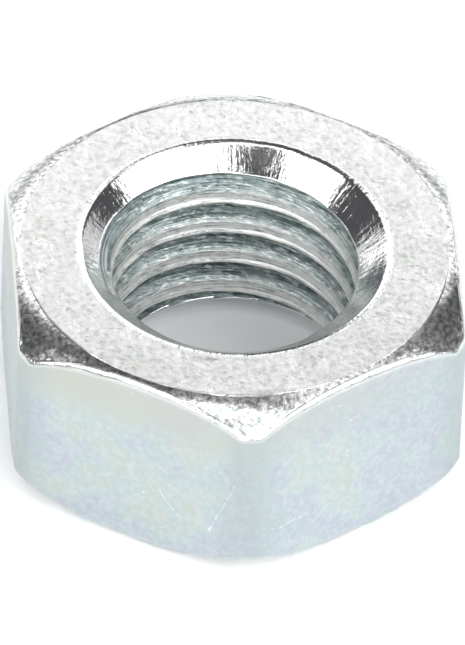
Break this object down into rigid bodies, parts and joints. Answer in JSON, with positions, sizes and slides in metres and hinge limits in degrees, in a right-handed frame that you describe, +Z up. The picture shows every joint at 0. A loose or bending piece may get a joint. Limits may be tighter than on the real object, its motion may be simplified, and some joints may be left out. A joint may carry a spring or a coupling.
{
  "type": "hex nut",
  "caption": "Plain hexagon nut with a coarse right-hand metric thread, countersunk and chamfered on both faces.",
  "frame": {"origin": "centre of the lower bearing face, on the thread axis", "axes": "+Z up the thread axis; two wrench flats face +X and -X, and two upright corners lie on the Y axis"},
  "size_m": [0.022, 0.0248, 0.0107],
  "materials": {
    "zinc_plated_steel": "bright zinc plate with a thin clear blue-white passivation: satin flats, frosted bearing faces, smooth countersinks, coarse grain on the corner chamfers"
  },
  "bodies": {
    "root": {"hex_nut": "zinc_plated_steel"}
  },
  "joints": []
}
